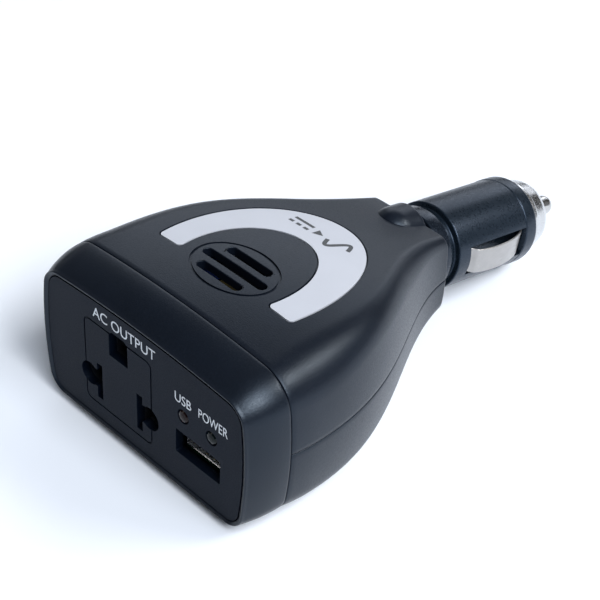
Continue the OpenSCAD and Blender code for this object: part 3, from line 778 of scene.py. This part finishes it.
panel = prism("panel", full_section(panel_sec(0), 0), 0, 2.0, front)
holes = [prism("hole", o, -1, 3, front) for o in hole_outlines()]
holes.append(prism("hole", box_outline(USB_X, USB_Z, 13, 5.9, 0.3), -1, 3, front))
for x in (-4.3, 3.9):
    holes.append(prism("hole", disc(USB_X + x, 2.5, 1.65, 48), -1, 3, front))
groove = prism("groove", box_outline(-7.25, -1.0, 21.2, 21.4, 1.6), -1, 0.28, front)
cut(groove, [prism("core", box_outline(-7.25, -1.0, 20.5, 20.7, 1.3), -2, 1, front)])
cut(panel, holes + [groove])
bevel(panel, 0.14, 2, 50)
flat_first(panel)
finish_piece(panel, "housing", "panel_black", "front_panel")

# the port's steel shell as rings of (width, height, corner radius, depth), with a chamfered mouth
port_rings = [
    (12.2, 4.9, 0.35, 16.0), (12.2, 4.9, 0.35, 2.92), (12.44, 5.14, 0.45, 2.8), (12.7, 5.4, 0.55, 2.8),
    (12.8, 5.5, 0.6, 2.86), (12.8, 5.5, 0.6, 16.4),
]
verts = [front(x, z, d) for w, h, r, d in port_rings for x, z in box_outline(USB_X, USB_Z, w, h, r)]
n = len(verts) // len(port_rings)
faces = grid_faces(len(port_rings), n, False, True)
faces += [tuple(range(n)), tuple(range(len(verts) - 1, len(verts) - 1 - n, -1))]
port = auto_smooth(new_object("port", verts, faces), 30)
finish_piece(port, "housing", "port_steel", "usb_shell")

# ---------------------------------------------------------------- badge
badge = prism("badge", badge_outline(0), 0, 30, world)
cut(badge, [roof_slab("layer", -0.55, -0.06, 22, 18, 60)], "INTERSECT")
auto_smooth(badge, 30)
finish_piece(badge, "housing", "badge_silver", "top_badge")

# ---------------------------------------------------------------- printed marks
MARK_Y = 49.0


def drape_strokes(name, strokes):
    """Thin strokes laid on the badge; a stroke is a list of (x, y, width)."""
    verts, faces = [], []
    for stroke in strokes:
        base, n = len(verts), len(stroke)
        for i, (x, y, w) in enumerate(stroke):
            a, b = Vector(stroke[max(0, i - 1)][:2]), Vector(stroke[min(n - 1, i + 1)][:2])
            t = (b - a).normalized() * (w / 2)
            left, right = (x - t.y, y + t.x), (x + t.y, y - t.x)
            for (u, v), off in ((left, -0.04), (right, -0.04), (right, -0.1), (left, -0.1)):
                verts.append(world(u, v, roof_z(shell_sec(v), u) + off))
        faces += [tuple(base + k for k in f) for f in grid_faces(n, 4, False, True)]
        faces += [(base, base + 1, base + 2, base + 3), tuple(base + 4 * n - k for k in (1, 2, 3, 4))]
    return auto_smooth(new_object(name, verts, faces), 30)


def bar(x0, x1, y, w0, w1=None):
    w1 = w0 if w1 is None else w1
    return [(mix(x0, x1, t), y, mix(w0, w1, t)) for t in np.linspace(0, 1, 7)]


HALF_WAVE = 2.9
wave = [
    (4.9 + t, MARK_Y + 2.3 * math.sin(t * math.pi / HALF_WAVE), 0.95)
    for t in np.linspace(-HALF_WAVE, HALF_WAVE, 49)
]
symbol = drape_strokes("badge_symbol", [
    wave,
    bar(-8.6, -3.0, MARK_Y + 0.95, 0.85),
    bar(-8.6, -7.3, MARK_Y - 0.95, 0.85),
    bar(-6.45, -5.15, MARK_Y - 0.95, 0.85),
    bar(-4.3, -3.0, MARK_Y - 0.95, 0.85),
    bar(-1.6, 0.5, MARK_Y, 2.5, 0.1),
])
finish_piece(symbol, "housing", "inner_black", mat=MATERIALS["mark_grey"])


def legend(name, text, x0, x1, z0, z1):
    """Printed label on the front panel, fitted to a rectangle of the panel."""
    curve = bpy.data.curves.new(name, "FONT")
    curve.body = text
    curve.extrude = 0.5
    tmp = bpy.data.objects.new(name, curve)
    bpy.context.scene.collection.objects.link(tmp)
    bpy.context.view_layer.update()
    me = bpy.data.meshes.new_from_object(tmp.evaluated_get(bpy.context.evaluated_depsgraph_get()))
    bpy.data.objects.remove(tmp)
    xs = [v.co.x for v in me.vertices]
    zs = [v.co.y for v in me.vertices]
    for v in me.vertices:
        u = (v.co.x - min(xs)) / (max(xs) - min(xs))
        w = (v.co.y - min(zs)) / (max(zs) - min(zs))
        v.co = world(mix(x0, x1, u), 0.01 if v.co.z < 0 else -0.02, mix(z0, z1, w))
    bm = bmesh.new()
    bm.from_mesh(me)
    bmesh.ops.remove_doubles(bm, verts=bm.verts, dist=1e-6)
    bmesh.ops.recalc_face_normals(bm, faces=bm.faces)
    bm.to_mesh(me)
    bm.free()
    ob = bpy.data.objects.new(name, me)
    bpy.context.scene.collection.objects.link(ob)
    finish_piece(ob, "housing", "inner_black", mat=MATERIALS["print_white"])
    return ob


legend("legend_outlet", "AC OUTPUT", -14.7, 4.6, 11.1, 13.6)
legend("legend_port", "USB", 10.4, 15.2, 5.4, 7.7)
legend("legend_power", "POWER", 17.3, 25.6, 5.4, 7.7)

# ---------------------------------------------------------------- plug
collar = lathe(
    "collar",
    rounded([(-6.2, 9.05), (-6.2, COLLAR_R), (-2.2, COLLAR_R), (-2.2, 9.05)], 0.35),
)
finish_piece(collar, "housing", "collar_black", "plug_collar")

barrel_profile = rounded(
    [(34, 3.45), (34, 7.4), (29, 7.4), (29, PLUG_R - 0.6), (28.4, PLUG_R), (24.9, PLUG_R), (24.7, PLUG_R - 0.12),
     (0, PLUG_R - 0.12), (0, ROOT_R), (-15.6, ROOT_R), (-15.6, 3.45)],
    0.4,
)
barrel = lathe("plug_body", barrel_profile)


def plug_box(name, x0, x1, half_w_mm, s0, s1):
    verts = [
        PLUG_FRAME @ Vector((x * MM, v * MM, s * MM))
        for x in (x0, x1) for v in (-half_w_mm, half_w_mm) for s in (s0, s1)
    ]
    faces = [(0, 1, 3, 2), (4, 6, 7, 5), (0, 4, 5, 1), (2, 3, 7, 6), (0, 2, 6, 4), (1, 5, 7, 3)]
    return new_object(name, verts, faces, smooth=False)


cut(barrel, [plug_box("slot", 7.3 * s, 13 * s, 3.6, 4, 24.6) for s in (-1, 1)])
auto_smooth(barrel, 30)
finish_piece(barrel, "housing", "plug_black", "plug_barrel")

cap_profile = [
    (29.25, 7.48), (29.25, 9.15), (29.5, 9.35), (30.9, 9.35), (31.2, 9.05), (31.5, 8.95), (34.4, 8.6), (35.6, 8.15),
    (36.4, 7.4), (36.9, 6.3), (37.15, 4.6), (37.15, 3.05), (36.85, 2.6), (35.2, 2.6), (35.2, 7.48),
]
cap = lathe("screw_cap", rounded(cap_profile, 0.25, 3))
finish_piece(cap, "cap", "nickel_cap", "tip_nut")

pin_profile = [
    (32.9, 0), (32.9, 3.35), (33.9, 3.35), (33.9, 2.45), (45.2, 2.45), (46.3, 2.05), (46.85, 1.3), (47, 0),
]
pin = lathe("centre_pin", rounded(pin_profile, 0.5, 4), closed=False)
finish_piece(pin, "tip", "nickel", "tip_pin")


STRIP_BOW = (
    (4.3, 9.35), (5.0, 9.9), (5.8, 10.9), (7.0, 11.35), (9.5, 11.75), (13.0, 11.9), (17.0, 11.6), (20.5, 10.8),
    (22.8, 9.9), (24.2, 9.05),
)


def strip_x(s):
    """Height of the bowed spring strip above the plug's axis along its length."""
    xs, ys = zip(*STRIP_BOW)
    k = max(0, min(len(xs) - 2, int(np.searchsorted(xs, s)) - 1))

    def slope(i):
        a, b = max(0, i - 1), min(len(xs) - 1, i + 1)
        return (ys[b] - ys[a]) / (xs[b] - xs[a])

    h = xs[k + 1] - xs[k]
    t = (s - xs[k]) / h
    return (
        (2 * t**3 - 3 * t**2 + 1) * ys[k] + (t**3 - 2 * t**2 + t) * h * slope(k)
        + (3 * t**2 - 2 * t**3) * ys[k + 1] + (t**3 - t**2) * h * slope(k + 1)
    )


def strip(name, side, body, node):
    stations = list(np.linspace(STRIP_BOW[0][0], STRIP_BOW[-1][0], 90))
    profile = []
    w, t, r = 3.0, 0.5, 0.14
    for cx, cv, a0 in ((-r, w - r, 0), (-t + r, w - r, 90), (-t + r, -w + r, 180), (-r, -w + r, 270)):
        for a in np.linspace(a0, a0 + 90, 5):
            profile.append((cx + r * math.cos(math.radians(a)), cv + r * math.sin(math.radians(a))))
    verts = []
    for s in stations:
        x0 = strip_x(s)
        for dx, v in profile:
            verts.append(PLUG_FRAME @ Vector((side * (x0 + dx) * MM, v * MM, s * MM)))
    n = len(profile)
    faces = grid_faces(len(stations), n, False, True)
    faces += [tuple(range(n)), tuple((len(stations) - 1) * n + k for k in range(n - 1, -1, -1))]
    ob = auto_smooth(new_object(name, verts, faces), 50)
    return finish_piece(ob, body, "contact_nickel", node)


strip("left_strip", -1, "left_contact", "side_contact_left")
strip("right_strip", 1, "right_contact", "side_contact_right")

# ---------------------------------------------------------------- studio
CAM_AZIMUTH, CAM_ELEVATION, CAM_ROLL = (math.radians(v) for v in (44.19, 37.24, 3.08))
CAM_PLACE = world(187.15, -148.82, 205.78)
LENS_MM = 94.93

back = Vector((
    math.sin(CAM_AZIMUTH) * math.cos(CAM_ELEVATION),
    -math.cos(CAM_AZIMUTH) * math.cos(CAM_ELEVATION),
    math.sin(CAM_ELEVATION),
))
level = Vector((math.cos(CAM_AZIMUTH), math.sin(CAM_AZIMUTH), 0))
up = back.cross(level)
right = level * math.cos(CAM_ROLL) + up * math.sin(CAM_ROLL)
up = back.cross(right)
cam_data = bpy.data.cameras.new("camera")
cam_data.lens, cam_data.sensor_width = LENS_MM, 36
cam_data.clip_start, cam_data.clip_end = 0.01, 20
cam = bpy.data.objects.new("camera", cam_data)
cam.matrix_world = Matrix((
    (right.x, up.x, back.x, CAM_PLACE.x),
    (right.y, up.y, back.y, CAM_PLACE.y),
    (right.z, up.z, back.z, CAM_PLACE.z),
    (0, 0, 0, 1),
))
bpy.context.scene.collection.objects.link(cam)
bpy.context.scene.camera = cam

floor = new_object("floor", [(-4, -4, 0), (4, -4, 0), (4, 4, 0), (-4, 4, 0)], [(0, 1, 2, 3)], smooth=False)
floor_mat, nt, bsdf, vec = material("studio_floor")
cloud = span(nt, noise(nt, vec, 3.0), 0, 1)
nt.links.new(blend_colors(nt, cloud, (0.86, 0.91, 0.97), (0.89, 0.94, 1.0)), bsdf.inputs["Base Color"])
bsdf.inputs["Roughness"].default_value = 0.8
bsdf.inputs["Specular IOR Level"].default_value = 0.2
floor.data.materials.append(floor_mat)


def area_light(name, direction, distance, size, power, color=(1, 1, 1)):
    data = bpy.data.lights.new(name, "AREA")
    data.shape, data.size, data.size_y = "RECTANGLE", size[0], size[1]
    data.energy, data.color = power, color
    ob = bpy.data.objects.new(name, data)
    d = Vector(direction).normalized()
    ob.location = d * distance
    ob.rotation_mode = "QUATERNION"
    ob.rotation_quaternion = d.to_track_quat("Z", "Y")
    bpy.context.scene.collection.objects.link(ob)
    return ob


COOL = (0.93, 0.98, 1.07)
NEUTRAL = (1.04, 1.0, 0.97)
area_light("key", (0.9, -0.2, 1.0), 2.4, (1.6, 1.6), 55.0, COOL)
area_light("key_core", (0.75, -0.15, 0.73), 2.4, (0.6, 0.6), 16.0, NEUTRAL)
area_light("overhead", (0, 0, 1), 2.2, (2.4, 2.4), 4.0, COOL)
area_light("back_left", (-0.6, 0.8, 0.5), 2.4, (1.8, 1.2), 10.0, COOL)
area_light("back", (-0.2, 0.9, 0.3), 2.4, (0.8, 0.6), 2.3, COOL)
area_light("low_right", (0.7, 0.8, 0.35), 2.4, (1.8, 1.2), 1.1, COOL)
area_light("left", (-1, 0.2, 0.5), 2.4, (1.8, 1.2), 2.5, COOL)
area_light("sweep_back", (0.46, 0.57, 0.68), 2.4, (0.6, 0.6), 16.0, NEUTRAL)
area_light("sweep_mid", (0.60, 0.42, 0.68), 2.4, (0.45, 0.45), 9.0, NEUTRAL)
area_light("glint", (-0.56, -0.60, 0.57), 2.4, (0.45, 0.45), 1.8, NEUTRAL)

world_data = bpy.data.worlds.new("studio")
bpy.context.scene.world = world_data
world_data.use_nodes = True
world_data.node_tree.nodes["Background"].inputs["Color"].default_value = (1, 1, 1, 1)
world_data.node_tree.nodes["Background"].inputs["Strength"].default_value = 0.03
bpy.context.scene.view_settings.view_transform = "Standard"
